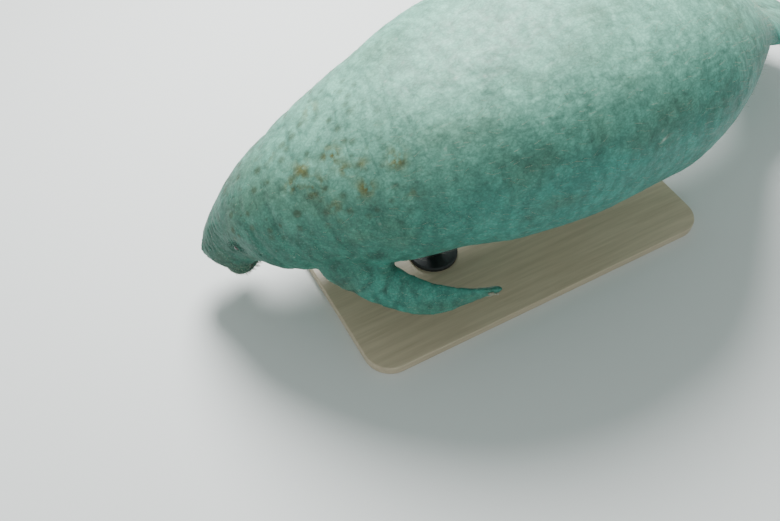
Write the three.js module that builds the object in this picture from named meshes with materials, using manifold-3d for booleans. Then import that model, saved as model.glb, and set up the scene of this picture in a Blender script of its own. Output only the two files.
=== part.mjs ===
// A life-size West Indian manatee grazing head down, held over a flat base by two short rods.
// Millimetres, +Z up. The origin is on the floor, at the centre of the base's underside.
// The animal is shaped lying straight along +X, snout at 0, right side towards +Y, and is then bent
// along its spine into its pose, in which it faces -X with its left flank towards -Y.
import * as THREE from "three";
import { mergeVertices } from "three/addons/utils/BufferGeometryUtils.js";
import Module from "manifold-3d";

const wasm = await Module();
wasm.setup();

// Driving dimensions of the animal
const LENGTH = 3000; // snout to the tip of the fluke, along the spine
const GAP = 0.3; // between pieces that touch

// The trunk's outline, from above and from the side, at named places along the straight body.
const STATIONS = [
  { place: "snout", at: 0, half: 92, top: 26, bottom: -98 },
  { place: "upper lip", at: 45, half: 103, top: 46, bottom: -118 },
  { place: "muzzle", at: 100, half: 108, top: 61, bottom: -126 },
  { place: "cheek", at: 160, half: 116, top: 76, bottom: -136 },
  { place: "eye", at: 225, half: 147, top: 92, bottom: -160 },
  { place: "ear", at: 310, half: 204, top: 114, bottom: -217 },
  { place: "neck", at: 410, half: 236, top: 138, bottom: -254 },
  { place: "throat", at: 530, half: 272, top: 172, bottom: -278 },
  { place: "shoulder", at: 670, half: 320, top: 220, bottom: -295 },
  { place: "armpit", at: 830, half: 365, top: 270, bottom: -304 },
  { place: "chest", at: 1030, half: 414, top: 310, bottom: -339 },
  { place: "navel", at: 1280, half: 441, top: 332, bottom: -347 },
  { place: "hip", at: 1540, half: 436, top: 325, bottom: -337 },
  { place: "vent", at: 1800, half: 378, top: 272, bottom: -276 },
  { place: "tail root", at: 2020, half: 294, top: 200, bottom: -190 },
  { place: "tail stock", at: 2200, half: 232, top: 141, bottom: -121 },
  { place: "tail waist", at: 2340, half: 203, top: 102, bottom: -82 },
  { place: "fluke root", at: 2480, half: 230, top: 73, bottom: -59 },
  { place: "fluke", at: 2640, half: 290, top: 52, bottom: -42 },
  { place: "fluke widest", at: 2790, half: 316, top: 38, bottom: -32 },
  { place: "fluke rim", at: 3000, half: 316, top: 20, bottom: -18 },
];
const SNOUT_ROUNDING = 74; // length over which the snout closes
const FACE_SET_BACK = 0.34; // how far the face leans back for each millimetre down
const FACE_DEPTH = 150; // length over which that lean dies away
const FLUKE_ROUNDING = 210; // length over which the fluke's outline closes
const FLUKE_TIP_ROUNDING = 60; // length over which the fluke's thickness closes
const FLUKE_FLAT_FROM = 2120; // from here the round stock turns into a flat blade
const FLUKE_FLAT_AT = 2620;
const TRUNK_SQUARENESS = 2.15;
const MUZZLE_SQUARENESS = 2.6;
const MUZZLE_SQUARE_TO = 300;
// How much wider the head is below than above, as a share, along the body
const PEAR = [
  [0, 0.17],
  [130, 0.17],
  [360, 0.14],
  [530, 0.08],
  [720, 0.09],
  [900, 0],
  [LENGTH, 0],
];

// Folds of skin round the neck, deepest at the throat and sides.
const NECK_FOLDS = [
  { at: 348, depth: 9, half: 9 },
  { at: 432, depth: 11, half: 11 },
  { at: 520, depth: 8, half: 11 },
];

// The spine's pose, in degrees: pitch above the horizontal and turn to the side, walking towards the tail.
const PITCH = [
  [0, 57],
  [220, 50.5],
  [420, 33],
  [760, 14],
  [1430, -1],
  [2100, -18.5],
  [2500, -24],
  [3000, -12],
];
const TURN = [
  [0, -29],
  [240, -29],
  [570, -20.5],
  [1330, 1.5],
  [2200, 15],
  [3000, 19],
];
const SPINE_STEP = 5; // of the sum that places the spine
const OVER_BASE_AT = 1240; // the place on the spine that stands over the base's centre
const SPINE_HEIGHT = 690; // of that place above the floor

// Where the body is parted
const HEAD_END = 330;
const NECK_END = 560;
const CHEST_END = 960;
const BELLY_END = 1560;
const LOIN_END = 2060;
const STOCK_END = 2400;

const HEAD_COLUMNS = 36;
const TRUNK_COLUMNS = 36;

const radians = THREE.MathUtils.degToRad;
const v3 = (x, y, z) => new THREE.Vector3(x, y, z);
const curl = (value, power) => Math.sign(value) * Math.abs(value) ** power;

// A smooth curve through [place, value] pairs that never overshoots them.
function smoothThrough(pairs) {
  const xs = pairs.map((pair) => pair[0]);
  const ys = pairs.map((pair) => pair[1]);
  const last = xs.length - 1;
  const rise = (i) => (ys[i + 1] - ys[i]) / (xs[i + 1] - xs[i]);
  const slope = xs.map((_, i) => {
    if (i === 0) return rise(0);
    if (i === last) return rise(last - 1);
    const before = rise(i - 1);
    const after = rise(i);
    return before * after <= 0 ? 0 : (2 * before * after) / (before + after);
  });
  return (x) => {
    const clamped = Math.min(Math.max(x, xs[0]), xs[last]);
    let i = 0;
    while (i < last - 1 && clamped > xs[i + 1]) i += 1;
    const width = xs[i + 1] - xs[i];
    const t = (clamped - xs[i]) / width;
    const keep = (1 + 2 * t) * (1 - t) ** 2;
    const leave = t * (1 - t) ** 2 * width;
    const reach = t * t * (3 - 2 * t);
    const arrive = t * t * (t - 1) * width;
    return keep * ys[i] + leave * slope[i] + reach * ys[i + 1] + arrive * slope[i + 1];
  };
}

const stationCurve = (key) => smoothThrough(STATIONS.map((s) => [s.at, s[key]]));
const halfWidthAt = stationCurve("half");
const topAt = stationCurve("top");
const bottomAt = stationCurve("bottom");
const squarenessAt = smoothThrough([
  [0, MUZZLE_SQUARENESS],
  [100, MUZZLE_SQUARENESS],
  [MUZZLE_SQUARE_TO, TRUNK_SQUARENESS],
  [LENGTH, TRUNK_SQUARENESS],
]);
const pearAt = smoothThrough(PEAR);
const flatnessAt = smoothThrough([
  [0, 0],
  [FLUKE_FLAT_FROM, 0],
  [FLUKE_FLAT_AT, 0.85],
  [LENGTH, 0.85],
]);

// The height of a quarter circle that rises over a run, and 1 past it.
function quarterRound(distance, run) {
  const t = Math.min(Math.max(distance / run, 0), 1);
  return Math.sqrt(1 - (1 - t) ** 2);
}

// How deep the neck's folds are at a place, with angle 0 at the side and -90 degrees at the throat.
function foldDepth(x, angle) {
  const share = 0.62 - 0.38 * Math.sin(angle);
  return NECK_FOLDS.reduce((sum, fold) => {
    const away = (x - fold.at) / fold.half;
    return sum + fold.depth * share * Math.exp(-away * away);
  }, 0);
}

// A point of the straight body's skin, grown outwards by some millimetres.
function bodyPoint(x, angle, grow = 0) {
  const closing = quarterRound(x, SNOUT_ROUNDING);
  const outline = closing * quarterRound(LENGTH - x, FLUKE_ROUNDING);
  const thickness = closing * quarterRound(LENGTH - x, FLUKE_TIP_ROUNDING);
  const power = 2 / squarenessAt(x);
  const inset = foldDepth(x, angle);
  const half = (halfWidthAt(x) - inset) * outline + grow;
  const tall = ((topAt(x) - bottomAt(x)) / 2 - inset) * thickness + grow;
  const middle = (topAt(x) + bottomAt(x)) / 2;
  const pear = 1 - pearAt(x) * Math.sin(angle);
  const y = half * pear * curl(Math.cos(angle), power);
  const z = middle + tall * curl(Math.sin(angle), power + flatnessAt(x));
  const lean = Math.max(1 - x / FACE_DEPTH, 0) ** 2 * FACE_SET_BACK;
  return v3(x + lean * (topAt(0) - z), y, z);
}

// The spine of the posed body, summed from the snout in short steps.
const pitchAt = smoothThrough(PITCH);
const turnAt = smoothThrough(TURN);
function spineDirection(x) {
  const pitch = radians(pitchAt(x));
  const turn = radians(turnAt(x));
  return v3(Math.cos(pitch) * Math.cos(turn), Math.cos(pitch) * Math.sin(turn), Math.sin(pitch));
}
const SPINE = [v3(0, 0, 0)];
for (let x = 0; x < LENGTH; x += SPINE_STEP) {
  const step = spineDirection(x + SPINE_STEP / 2).multiplyScalar(SPINE_STEP);
  SPINE.push(SPINE.at(-1).clone().add(step));
}
const spineOrigin = SPINE[OVER_BASE_AT / SPINE_STEP].clone();
function spinePoint(x) {
  const place = Math.min(Math.max(x, 0), LENGTH - SPINE_STEP) / SPINE_STEP;
  const i = Math.floor(place);
  const ahead = x - i * SPINE_STEP;
  const along = SPINE[i + 1].clone().sub(SPINE[i]).multiplyScalar(ahead / SPINE_STEP);
  return SPINE[i].clone().add(along).sub(spineOrigin).add(v3(0, 0, SPINE_HEIGHT));
}

// The posed body's own directions at a place: towards the tail, to the right side, and up.
function bodyAxes(x) {
  const tail = spineDirection(x);
  const right = v3(-tail.y, tail.x, 0).normalize();
  return { tail, right, up: tail.clone().cross(right) };
}

function posed(point) {
  const { right, up } = bodyAxes(point.x);
  return spinePoint(point.x).addScaledVector(right, point.y).addScaledVector(up, point.z);
}

function moveVertices(geometry, place) {
  const spots = geometry.attributes.position;
  const spot = new THREE.Vector3();
  for (let i = 0; i < spots.count; i += 1) {
    const { x, y, z } = place(spot.fromBufferAttribute(spots, i));
    spots.setXYZ(i, x, y, z);
  }
  return geometry;
}

function bare(geometry) {
  const copy = geometry.clone();
  copy.deleteAttribute("normal");
  copy.deleteAttribute("uv");
  return mergeVertices(copy, 1e-4);
}

// A closed skin through rings of points. Each ring is a place for pointAt(ring, angle), and the
// two poles close it: flat across an end ring, or at the tip of a rounded end.
function loft(rings, columns, pointAt, startPole, endPole) {
  const rows = rings.length + 1;
  const ball = bare(new THREE.SphereGeometry(1, columns, rows));
  return moveVertices(ball, (spot) => {
    const row = Math.round((Math.acos(THREE.MathUtils.clamp(spot.y, -1, 1)) / Math.PI) * rows);
    if (row === 0) return startPole;
    if (row === rows) return endPole;
    return pointAt(rings[row - 1], Math.atan2(spot.z, spot.x));
  });
}

function solidOf(geometry) {
  const { attributes, index } = bare(geometry);
  const made = new wasm.Mesh({
    numProp: 3,
    vertProperties: new Float32Array(attributes.position.array),
    triVerts: new Uint32Array(index.array),
  });
  return new wasm.Manifold(made);
}

function geometryOf(solid) {
  const { vertProperties, triVerts } = solid.getMesh();
  const geometry = new THREE.BufferGeometry();
  geometry.setAttribute("position", new THREE.BufferAttribute(vertProperties, 3));
  geometry.setIndex(new THREE.BufferAttribute(triVerts, 1));
  return geometry;
}

// The largest closed surface of a solid, without loose scraps.
function largest(solid) {
  return solid.decompose().reduce((best, one) => (one.volume() > best.volume() ? one : best));
}

const joined = (solids) => solids.reduce((whole, one) => whole.add(one));
const posedSolid = (solid) => moveVertices(geometryOf(solid), posed);

// An ellipsoid with its own directions, for lips, lids and nails.
function ellipsoid(centre, radii, turn = new THREE.Quaternion(), columns = 14, rows = 8) {
  const ball = new THREE.SphereGeometry(1, columns, rows);
  ball.applyMatrix4(new THREE.Matrix4().compose(centre, turn, radii));
  return ball;
}

// A round bar along a curve, closed at both ends.
function bar(curve, radius, steps, sides = 8) {
  const section = new THREE.Shape();
  section.absarc(0, 0, radius, 0, 2 * Math.PI);
  const options = { steps, curveSegments: sides / 2, bevelEnabled: false, extrudePath: curve };
  return new THREE.ExtrudeGeometry(section, options);
}

// Rings from one place to another, closer together over the folds.
function ringsBetween(from, to, step) {
  const count = Math.round((to - from) / step);
  const even = Array.from({ length: count + 1 }, (_, i) => from + ((to - from) * i) / count);
  const folds = NECK_FOLDS.filter((fold) => fold.at > from && fold.at < to);
  const clear = even.filter((x) => folds.every((fold) => Math.abs(x - fold.at) > 2.6 * fold.half));
  const extra = folds.flatMap(({ at, half }) => [-2, -1, 0, 1, 2].map((k) => at + k * half));
  return [...clear, ...extra].sort((a, b) => a - b);
}

// A length of the straight body between two flat cuts, half a gap inside each.
function bodyLength(from, to, step, columns) {
  const rings = ringsBetween(from + GAP / 2, to - GAP / 2, step);
  const ends = [rings[0], rings.at(-1)].map((x) => v3(x, 0, (topAt(x) + bottomAt(x)) / 2));
  return loft(rings, columns, bodyPoint, ends[0], ends[1]);
}

// The snout's rings follow the round of its closing, and so do the fluke's.
function roundedRings(reach, count) {
  return Array.from({ length: count }, (_, i) => {
    const angle = ((i + 1) / (count + 1)) * (Math.PI / 2);
    return reach * (1 - Math.cos(angle));
  });
}

function headSkin(grow = 0, end = HEAD_END - GAP / 2) {
  const rings = [...roundedRings(SNOUT_ROUNDING, 4), ...ringsBetween(SNOUT_ROUNDING, end, 18)];
  const middle = (topAt(0) + bottomAt(0)) / 2;
  const tip = v3(FACE_SET_BACK * (topAt(0) - middle) - grow, 0, middle);
  const back = v3(end, 0, (topAt(end) + bottomAt(end)) / 2);
  return loft(rings, HEAD_COLUMNS, (x, angle) => bodyPoint(x, angle, grow), tip, back);
}

// The face: a broad bristled pad below a wide nose, two hanging lobes of the upper lip, a roll of
// lip along the mouth, and raised nostrils
const FACE_PAD = { centre: v3(66, 0, -44), radii: v3(60, 84, 74) };
const NOSE = { centre: v3(57, 0, -3), radii: v3(54, 78, 44) };
const LIP_LOBE = { centre: v3(80, 49, -88), radii: v3(66, 56, 54) };
const LIP_BRIDGE = { centre: v3(72, 0, -74), radii: v3(46, 62, 56) };
const LIP_ROLL = { centre: v3(150, 74, -84), radii: v3(80, 44, 21) };
const NOSTRIL_DOME = { centre: v3(48, 32, 9), radii: v3(38, 27, 32) };
const NOSTRIL_SLIT = { radius: 3.2, reach: 13, depth: 1.5 };

// The lower jaw: a blunt pad behind the upper lip, running back into the throat
const JAW_STATIONS = [
  { at: 98, half: 60, top: -84, bottom: -156 },
  { at: 135, half: 76, top: -80, bottom: -172 },
  { at: 190, half: 96, top: -70, bottom: -182 },
  { at: 250, half: 114, top: -60, bottom: -186 },
  { at: 310, half: 122, top: -50, bottom: -176 },
];
const JAW_ROUNDING = 40;
// The mouth seen from the side, from under the lip to its corner, and the jaw's parting behind it
const MOUTH = [
  { x: 92, z: -124, open: 8 },
  { x: 126, z: -114, open: 8 },
  { x: 176, z: -106, open: 7 },
  { x: 222, z: -110, open: 5 },
  { x: 240, z: -120, open: 3 },
];
const JAW_PARTS_AT = { x: 268, z: -320 };
const MOUTH_DEPTH = 0.08; // of the half width

const EYE = { at: 222, angle: radians(12), radius: 12, sunk: 6.5 };
const LID = { radius: 15.5, thickness: 6.5 };
const EAR_PIT = { at: 322, angle: radians(6), radius: 2.6, depth: 9 };

const mirrored = (vector, side) => v3(vector.x, vector.y * side, vector.z);

// The skin's own directions at a place on the straight head: outwards, towards the tail, and across.
function skinFrame(x, angle) {
  const here = bodyPoint(x, angle);
  const along = bodyPoint(x + 4, angle).sub(bodyPoint(x - 4, angle)).normalize();
  const round = bodyPoint(x, angle + 0.05).sub(bodyPoint(x, angle - 0.05)).normalize();
  const out = along.clone().cross(round).normalize();
  if (out.dot(v3(0, here.y, here.z)) < 0) out.negate();
  const across = out.clone().cross(along).normalize();
  const matrix = new THREE.Matrix4().makeBasis(along, across, out);
  return { here, out, along, across, turn: new THREE.Quaternion().setFromRotationMatrix(matrix) };
}

const sideAngle = (angle, side) => (side > 0 ? angle : Math.PI - angle);

function eyeFrame(side) {
  return skinFrame(EYE.at, sideAngle(EYE.angle, side));
}

function eyeball(side, grow = 0) {
  const { here, out } = eyeFrame(side);
  const radius = EYE.radius + grow;
  return ellipsoid(here.addScaledVector(out, -EYE.sunk), v3(radius, radius, radius));
}

// Two thick lids round the eye: a flattened ring that lies in the skin.
function lids(side) {
  const { here, turn } = eyeFrame(side);
  const ring = new THREE.TorusGeometry(LID.radius, LID.thickness, 8, 16);
  return ring.applyMatrix4(new THREE.Matrix4().compose(here, turn, v3(1.15, 0.9, 0.75)));
}

// A closed nostril: a crescent slit over its dome, open end towards the middle.
function nostrilSlit(side) {
  const { centre, radii } = NOSTRIL_DOME;
  const over = (x, y) => {
    const left = 1 - (x / radii.x) ** 2 - (y / radii.y) ** 2;
    const z = radii.z * Math.sqrt(Math.max(left, 0)) - NOSTRIL_SLIT.depth;
    return v3(centre.x + x, side * (centre.y + y), centre.z + z);
  };
  const turns = [-100, -60, -20, 20, 60, 100].map(radians);
  const arc = turns.map((turn) => {
    return over(-4 - NOSTRIL_SLIT.reach * Math.cos(turn), NOSTRIL_SLIT.reach * 0.9 * Math.sin(turn));
  });
  return bar(new THREE.CatmullRomCurve3(arc), NOSTRIL_SLIT.radius, 12);
}

function jawSkin(grow = 0) {
  const curveOf = (key) => smoothThrough(JAW_STATIONS.map((s) => [s.at, s[key]]));
  const [half, top, bottom] = ["half", "top", "bottom"].map(curveOf);
  const start = JAW_STATIONS[0].at;
  const end = JAW_STATIONS.at(-1).at;
  const point = (x, angle) => {
    const closing = quarterRound(x - start, JAW_ROUNDING);
    const middle = (top(x) + bottom(x)) / 2;
    const tall = ((top(x) - bottom(x)) / 2) * closing + grow;
    const y = (half(x) * closing + grow) * curl(Math.cos(angle), 0.85);
    return v3(x, y, middle + tall * curl(Math.sin(angle), 0.85));
  };
  const front = roundedRings(JAW_ROUNDING, 4).map((x) => start + x);
  const rings = [...front, ...ringsBetween(start + JAW_ROUNDING, end, 24)];
  const tip = v3(start - grow, 0, (top(start) + bottom(start)) / 2);
  const back = v3(end, 0, (top(end) + bottom(end)) / 2);
  return loft(rings, 24, point, tip, back);
}

// The mouth line as a slit through the whole face, or with no height as the jaw's own space below it
function sideways(outline) {
  const shape = new THREE.Shape(outline.map(([x, z]) => new THREE.Vector2(x, z)));
  const slab = new THREE.ExtrudeGeometry(shape, { depth: 600, bevelEnabled: false });
  return solidOf(slab.translate(0, 0, -300).rotateX(Math.PI / 2));
}

function mouthSlit() {
  const above = MOUTH.map(({ x, z, open }) => [x, z + open / 2]);
  const below = MOUTH.map(({ x, z, open }) => [x, z - open / 2]);
  return sideways([...above, ...below.reverse()]);
}

function jawSpace(grow) {
  const front = MOUTH[0].x - grow;
  const roof = MOUTH.map(({ x, z }) => [Math.max(x, front), z + grow]);
  roof[0][0] = front;
  const corner = [MOUTH.at(-1).x + grow, MOUTH.at(-1).z + grow];
  roof[roof.length - 1] = corner;
  return sideways([[front, JAW_PARTS_AT.z], ...roof, [JAW_PARTS_AT.x + grow, JAW_PARTS_AT.z]]);
}

// The head with its lips, and the jaw below the mouth line, a gap apart.
function makeFace() {
  const lobe = ({ centre, radii }, side, columns, rows, grow = 0) => {
    const size = radii.clone().addScalar(grow);
    return solidOf(ellipsoid(mirrored(centre, side), size, undefined, columns, rows));
  };
  const lips = (grow) => {
    const sides = [-1, 1].flatMap((side) => [
      lobe(LIP_LOBE, side, 18, 12, grow),
      lobe(LIP_ROLL, side, 16, 10, grow),
    ]);
    const middle = [LIP_BRIDGE, FACE_PAD].map((form) => lobe(form, 1, 16, 10, grow));
    return joined([...middle, ...sides]);
  };
  const bulges = [-1, 1].flatMap((side) => [lobe(NOSTRIL_DOME, side, 14, 10), solidOf(lids(side))]);
  const skull = solidOf(headSkin()).add(solidOf(jawSkin()));
  const nose = lobe(NOSE, 1, 16, 10);
  const upper = skull.subtract(jawSpace(GAP / 2)).add(joined([lips(0), nose, ...bulges]));
  const slit = mouthSlit().subtract(skull.scale([1, 1 - MOUTH_DEPTH, 1]));
  const openings = [-1, 1].flatMap((side) => [
    solidOf(eyeball(side, GAP)),
    solidOf(nostrilSlit(side)),
    earPit(side),
  ]);
  return {
    head: largest(upper.subtract(joined([...openings, slit]))),
    jaw: largest(skull.intersect(jawSpace(-GAP / 2)).subtract(lips(GAP).add(slit))),
  };
}

function earPit(side) {
  const { here, out } = skinFrame(EAR_PIT.at - 8, sideAngle(EAR_PIT.angle, side));
  const line = new THREE.LineCurve3(
    here.clone().addScaledVector(out, -EAR_PIT.depth),
    here.clone().addScaledVector(out, EAR_PIT.depth),
  );
  return solidOf(bar(line, EAR_PIT.radius, 1));
}

// A flipper: a bent paddle, from its root sunk in the chest to a round tip
const ROOT = { at: 527, angle: radians(-40), sunk: 124 };
const ARM_LENGTH = 300; // from the root's centre to where the arm and hand are parted
const FLIPPER_LENGTH = 624;
const FLIPPER_STATIONS = [
  { at: 0, lead: 66, trail: 104, half: 90 },
  { at: 140, lead: 88, trail: 92, half: 70 },
  { at: 230, lead: 88, trail: 78, half: 49 },
  { at: 315, lead: 82, trail: 67, half: 35 },
  { at: 410, lead: 76, trail: 56, half: 26 },
  { at: 500, lead: 62, trail: 44, half: 19 },
  { at: 570, lead: 46, trail: 34, half: 15 },
  { at: 624, lead: 32, trail: 26, half: 11 },
];
const SHOULDER_ROUNDING = 120; // length over which the buried root opens
const FLIPPER_ROUNDING = 104; // length over which its outline closes
const FLIPPER_TIP_ROUNDING = 22; // length over which its thickness closes
// Its direction along its length, in the chest's own directions: towards the tail, outwards and up.
const LEFT_LIMB = [
  { at: 0, back: 0.64, out: 0.54, up: -0.5, twist: -48 },
  { at: 210, back: 0.58, out: 0.47, up: -0.58, twist: -55 },
  { at: 360, back: 0.75, out: 0.24, up: -0.51, twist: -66 },
  { at: 490, back: 0.92, out: 0.02, up: -0.34, twist: -94 },
  { at: 624, back: 0.99, out: 0.01, up: -0.2, twist: -124 },
];
const RIGHT_LIMB = [
  { at: 0, back: 0.58, out: 0.56, up: -0.55, twist: -46 },
  { at: 210, back: 0.5, out: 0.48, up: -0.66, twist: -52 },
  { at: 360, back: 0.62, out: 0.22, up: -0.66, twist: -60 },
  { at: 490, back: 0.8, out: 0.02, up: -0.56, twist: -76 },
  { at: 624, back: 0.86, out: -0.05, up: -0.46, twist: -92 },
];
const LIMB_STEP = 5;

const flipperCurve = (key) => smoothThrough(FLIPPER_STATIONS.map((s) => [s.at, s[key]]));
const leadAt = flipperCurve("lead");
const trailAt = flipperCurve("trail");
const flipperHalfAt = flipperCurve("half");

// The flipper's centre line and directions in the posed frame, as functions of the distance along it.
function limbPath(limb, side) {
  const { tail, right, up } = bodyAxes(ROOT.at);
  const out = right.multiplyScalar(side);
  const along = (key) => smoothThrough(limb.map((knot) => [knot.at, knot[key]]));
  const [back, outward, upward, twist] = ["back", "out", "up", "twist"].map(along);
  const direction = (s) => {
    const sum = tail.clone().multiplyScalar(back(s)).addScaledVector(out, outward(s));
    return sum.addScaledVector(up, upward(s)).normalize();
  };
  const surface = posed(bodyPoint(ROOT.at, sideAngle(ROOT.angle, side)));
  const points = [surface.addScaledVector(direction(0), -ROOT.sunk)];
  for (let s = 0; s < FLIPPER_LENGTH; s += LIMB_STEP) {
    const step = direction(s + LIMB_STEP / 2).multiplyScalar(LIMB_STEP);
    points.push(points.at(-1).clone().add(step));
  }
  return (s) => {
    const i = Math.min(Math.floor(s / LIMB_STEP), points.length - 2);
    const centre = points[i].clone().lerp(points[i + 1], s / LIMB_STEP - i);
    const way = direction(s);
    const level = way.clone().cross(up).multiplyScalar(-side).normalize();
    const steep = way.clone().cross(level).multiplyScalar(side).normalize();
    const turn = radians(twist(s));
    const lead = level.clone().multiplyScalar(Math.cos(turn));
    lead.addScaledVector(steep, Math.sin(turn));
    return { centre, lead, face: way.clone().cross(lead).multiplyScalar(side).normalize() };
  };
}

// A point of the flipper's skin: angle 0 is its leading edge, 90 degrees its outer face.
function flipperPoint(path, s, angle, grow = 0) {
  const opening = quarterRound(s, SHOULDER_ROUNDING);
  const outline = opening * quarterRound(FLIPPER_LENGTH - s, FLIPPER_ROUNDING);
  const thickness = opening * quarterRound(FLIPPER_LENGTH - s, FLIPPER_TIP_ROUNDING);
  const { centre, lead, face } = path(s);
  const across = Math.cos(angle);
  const width = (across > 0 ? leadAt(s) : trailAt(s)) * outline + grow;
  const half = flipperHalfAt(s) * thickness + grow;
  const blade = THREE.MathUtils.clamp((s - 170) / 220, 0, 1) * 0.5;
  const point = centre.clone().addScaledVector(lead, width * across);
  return point.addScaledVector(face, half * curl(Math.sin(angle), 1 + blade));
}

function flipperLength(path, from, to, step, side, grow = 0) {
  const rounded = to >= FLIPPER_LENGTH;
  const straightFrom = from > 0 ? from : SHOULDER_ROUNDING;
  const straightTo = rounded ? FLIPPER_LENGTH - FLIPPER_ROUNDING : to;
  const count = Math.round((straightTo - straightFrom) / step);
  const along = (i) => straightFrom + ((straightTo - straightFrom) * i) / count;
  const rings = Array.from({ length: count + 1 }, (_, i) => along(i));
  if (from === 0) rings.unshift(...roundedRings(SHOULDER_ROUNDING, 4));
  if (rounded) {
    rings.push(...roundedRings(FLIPPER_ROUNDING, 7).map((x) => FLIPPER_LENGTH - x).reverse());
  }
  const point = (s, angle) => flipperPoint(path, s, side * angle, grow);
  const start = path(from).centre;
  const end = path(rounded ? FLIPPER_LENGTH : to).centre;
  return solidOf(loft(rings, 24, point, start, end));
}

// Nails on the outer face, near the tip's rim
const NAILS = [
  { along: 578, across: 0.6 },
  { along: 597, across: 0.08 },
  { along: 581, across: -0.5 },
];
const NAIL_RADII = v3(10, 6.5, 4.2);

function nailSolid(path, nail, side) {
  const { lead, face } = path(nail.along);
  const way = lead.clone().cross(face).normalize().multiplyScalar(side);
  const spot = flipperPoint(path, nail.along, Math.acos(nail.across));
  const turn = new THREE.Quaternion().setFromRotationMatrix(
    new THREE.Matrix4().makeBasis(way, face.clone().cross(way), face),
  );
  return solidOf(ellipsoid(spot, NAIL_RADII, turn, 12, 8));
}

// The display stand: a flat base, two rods with round feet, and a saddle under the belly on each
const BASE = { length: 1400, width: 680, height: 36, corner: 90, bevel: 4 };
const RODS = [
  { name: "front", under: 900 },
  { name: "rear", under: 1640 },
];
const ROD_RADIUS = 30;
const FOOT = { radius: 90, height: 16, edge: 4 };
const SADDLE = { radius: 105, thin: 16, edge: 6 };

function roundedPlate({ length, width, height, corner, bevel }) {
  const [x, y] = [length / 2 - bevel, width / 2 - bevel];
  const outline = new THREE.Shape();
  outline.absarc(x - corner, y - corner, corner, 0, Math.PI / 2);
  outline.absarc(corner - x, y - corner, corner, Math.PI / 2, Math.PI);
  outline.absarc(corner - x, corner - y, corner, Math.PI, 1.5 * Math.PI);
  outline.absarc(x - corner, corner - y, corner, 1.5 * Math.PI, 2 * Math.PI);
  const options = {
    depth: height - 2 * bevel,
    curveSegments: 6,
    bevelThickness: bevel,
    bevelSize: bevel,
    bevelSegments: 2,
  };
  return new THREE.ExtrudeGeometry(outline, options).translate(0, 0, bevel);
}

// A turned piece from its [radius, height] outline, standing up along Z.
function turned(outline, segments = 32) {
  const points = outline.map(([radius, height]) => new THREE.Vector2(radius, height));
  return new THREE.LatheGeometry(points, segments).rotateX(Math.PI / 2);
}

function rodGeometry(top) {
  const { radius, height, edge } = FOOT;
  return turned([
    [0, 0],
    [radius, 0],
    [radius, height - edge],
    [radius - edge, height],
    [ROD_RADIUS, height],
    [ROD_RADIUS, top],
    [0, top],
  ]);
}

function saddleBlank(height) {
  const { radius, thin, edge } = SADDLE;
  return turned([
    [0, 0],
    [radius * 0.6, 0],
    [radius, thin - edge],
    [radius, height],
    [0, height],
  ]);
}

// Colours of the animal and its stand
const finish = (color, roughness, metalness = 0) => {
  return new THREE.MeshStandardMaterial({ color, roughness, metalness });
};
const SKIN = finish(0x62807c, 0.62);
const MUZZLE_SKIN = finish(0x6d8580, 0.66);
const NAIL_HORN = finish(0xb9b49c, 0.4);
const EYE_DARK = finish(0x15110d, 0.12);
const PAINTED_STEEL = finish(0x2f3436, 0.45, 0.6);
const BASE_BOARD = finish(0xbfb8a8, 0.55);

const model = new THREE.Group();
model.name = "manatee";
function addNode(name, geometry, material) {
  const mesh = new THREE.Mesh(geometry, material);
  mesh.name = name;
  model.add(mesh);
}

const face = makeFace();
addNode("head", posedSolid(face.head), SKIN);
addNode("lower_jaw", posedSolid(face.jaw), MUZZLE_SKIN);
for (const [name, side] of [["left", -1], ["right", 1]]) {
  addNode(`eye_${name}`, posedSolid(solidOf(eyeball(side))), EYE_DARK);
}

const TRUNK = [
  { name: "neck", from: HEAD_END, to: NECK_END, step: 16 },
  { name: "chest", from: NECK_END, to: CHEST_END, step: 40 },
  { name: "belly", from: CHEST_END, to: BELLY_END, step: 55 },
  { name: "loin", from: BELLY_END, to: LOIN_END, step: 55 },
  { name: "tail_stock", from: LOIN_END, to: STOCK_END, step: 45 },
];
for (const { name, from, to, step } of TRUNK) {
  addNode(name, moveVertices(bodyLength(from, to, step, TRUNK_COLUMNS), posed), SKIN);
}

function flukeSkin() {
  const from = STOCK_END + GAP / 2;
  const rounds = roundedRings(FLUKE_ROUNDING, 9).map((x) => LENGTH - x).reverse();
  const rings = [...ringsBetween(from, LENGTH - FLUKE_ROUNDING, 42), ...rounds];
  const root = v3(from, 0, (topAt(from) + bottomAt(from)) / 2);
  const tip = v3(LENGTH, 0, (topAt(LENGTH) + bottomAt(LENGTH)) / 2);
  return loft(rings, TRUNK_COLUMNS, bodyPoint, root, tip);
}
addNode("tail_fluke", moveVertices(flukeSkin(), posed), SKIN);

// The trunk grown by the gap, which cuts what grows from it or carries it
function trunkCutter() {
  const rings = TRUNK.slice(0, 4).flatMap(({ from, to, step }) => {
    return ringsBetween(from + GAP / 2, to - GAP / 2, step);
  });
  const ends = [rings[0], rings.at(-1)].map((x) => v3(x, 0, 0));
  const grown = (x, angle) => bodyPoint(x, angle, GAP);
  return solidOf(moveVertices(loft(rings, TRUNK_COLUMNS, grown, ends[0], ends[1]), posed));
}
const trunk = trunkCutter();

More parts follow.
